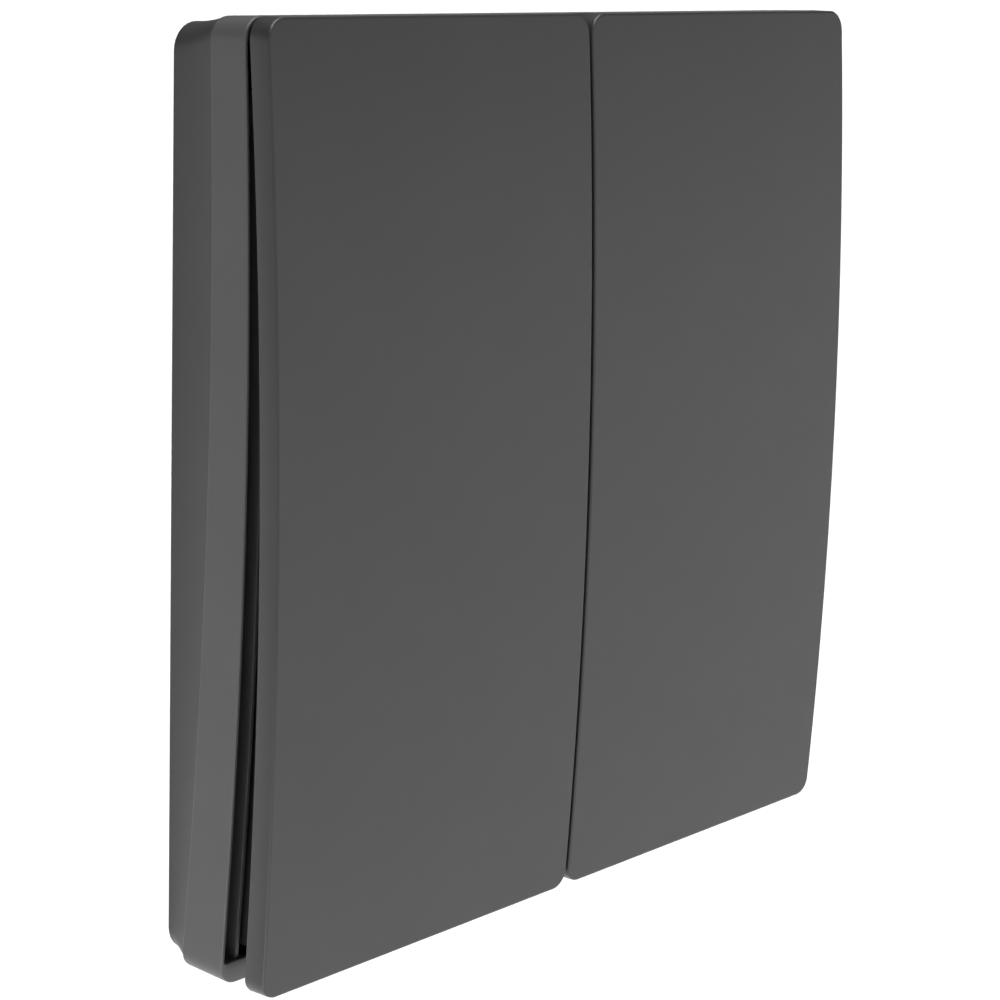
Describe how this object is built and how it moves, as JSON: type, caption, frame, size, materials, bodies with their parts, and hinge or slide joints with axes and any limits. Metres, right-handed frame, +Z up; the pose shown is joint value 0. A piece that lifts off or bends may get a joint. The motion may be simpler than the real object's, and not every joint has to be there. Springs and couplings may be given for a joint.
{
  "type": "rocker wall switch",
  "caption": "Thin square surface-mounted wall switch with side-by-side rockers hinged at the top, each working a small generator for its radio.",
  "frame": {"origin": "middle of the flat face that lies on the wall", "axes": "+X to the right as a user sees the switch, +Y into the wall, +Z up; the rockers face -Y"},
  "size_m": [0.086, 0.0142, 0.0862],
  "materials": {
    "frame_plastic": "satin moulded grey plastic",
    "back_plastic": "satin moulded anthracite plastic",
    "rocker_plastic": "satin moulded anthracite plastic",
    "plate_plastic": "textured dark plastic",
    "inner_plastic": "black moulded plastic",
    "bobbin_plastic": "natural nylon",
    "lever_plastic": "white acetal",
    "foam": "foam tape",
    "rubber": "soft rubber",
    "steel": "bright zinc-plated steel",
    "spring_steel": "spring steel strip",
    "core_iron": "soft iron sheet",
    "magnet": "nickel-plated magnet",
    "copper": "enamelled copper wire",
    "board": "green solder mask",
    "tin": "tinned sheet",
    "chip": "black epoxy",
    "capacitor": "moulded capacitor"
  },
  "bodies": {
    "base": {"front_frame": "frame_plastic", "back_housing": "back_plastic", "wall_plate": "plate_plastic", "chassis": "inner_plastic", "adhesive_pads": "foam", "chassis_screws": "steel", "generator_screws": "steel", "stop_pads": "rubber", "circuit_board": "board", "radio_shield": "tin", "radio_chip": "chip", "storage_capacitors": "capacitor", "rectifier_diodes": "chip", "radio_antenna": "tin", "hinge_pin_left": "steel", "return_spring_left": "spring_steel", "generator_case_left": "inner_plastic", "coil_bobbin_left": "bobbin_plastic", "coil_winding_left": "copper", "magnets_left": "magnet", "pole_plates_left": "core_iron", "generator_pin_left": "steel", "coil_terminals_left": "tin", "key_switch_left": "chip", "hinge_pin_right": "steel", "return_spring_right": "spring_steel", "generator_case_right": "inner_plastic", "coil_bobbin_right": "bobbin_plastic", "coil_winding_right": "copper", "magnets_right": "magnet", "pole_plates_right": "core_iron", "generator_pin_right": "steel", "coil_terminals_right": "tin", "key_switch_right": "chip"},
    "rocker_left": {"rocker_left": "rocker_plastic"},
    "lever_left": {"generator_lever_left": "lever_plastic"},
    "core_left": {"iron_core_left": "core_iron"},
    "key_left": {"key_button_left": "lever_plastic"},
    "rocker_right": {"rocker_right": "rocker_plastic"},
    "lever_right": {"generator_lever_right": "lever_plastic"},
    "core_right": {"iron_core_right": "core_iron"},
    "key_right": {"key_button_right": "lever_plastic"}
  },
  "joints": [
    {"name": "rocker_left_hinge", "type": "hinge", "parent": "base", "child": "rocker_left", "pos_m": [-0.0216, -0.0072, 0.0393], "axis": [1, 0, 0], "range_deg": [0, 1.76], "stiffness_Nm_per_rad": 2, "springref_deg": -2.86, "deforming": ["return_spring_left"]},
    {"name": "lever_left_hinge", "type": "hinge", "parent": "base", "child": "lever_left", "pos_m": [-0.0216, -0.0069, 0.0075], "axis": [1, 0, 0], "range_deg": [0, 4.6]},
    {"name": "core_left_hinge", "type": "hinge", "parent": "base", "child": "core_left", "pos_m": [-0.0216, -0.0069, 0.0075], "axis": [1, 0, 0], "range_deg": [0, 3]},
    {"name": "key_left_slide", "type": "slide", "parent": "base", "child": "key_left", "axis": [0, 1, 0], "range_m": [0, 0.00035]},
    {"name": "rocker_right_hinge", "type": "hinge", "parent": "base", "child": "rocker_right", "pos_m": [0.0216, -0.0072, 0.0393], "axis": [1, 0, 0], "range_deg": [0, 1.76], "stiffness_Nm_per_rad": 2, "springref_deg": -2.86, "deforming": ["return_spring_right"]},
    {"name": "lever_right_hinge", "type": "hinge", "parent": "base", "child": "lever_right", "pos_m": [0.0216, -0.0069, 0.0075], "axis": [1, 0, 0], "range_deg": [0, 4.6]},
    {"name": "core_right_hinge", "type": "hinge", "parent": "base", "child": "core_right", "pos_m": [0.0216, -0.0069, 0.0075], "axis": [1, 0, 0], "range_deg": [0, 3]},
    {"name": "key_right_slide", "type": "slide", "parent": "base", "child": "key_right", "axis": [0, 1, 0], "range_m": [0, 0.00035]}
  ],
  "couplings": [
    {"joint": "lever_left_hinge", "follows": "rocker_left_hinge", "ratio": 2.56},
    {"joint": "core_left_hinge", "follows": "rocker_left_hinge", "ratio": 1.69},
    {"joint": "key_left_slide", "follows": "rocker_left_hinge", "m_per_rad": 0.0113},
    {"joint": "lever_right_hinge", "follows": "rocker_right_hinge", "ratio": 2.56},
    {"joint": "core_right_hinge", "follows": "rocker_right_hinge", "ratio": 1.69},
    {"joint": "key_right_slide", "follows": "rocker_right_hinge", "m_per_rad": 0.0113}
  ]
}
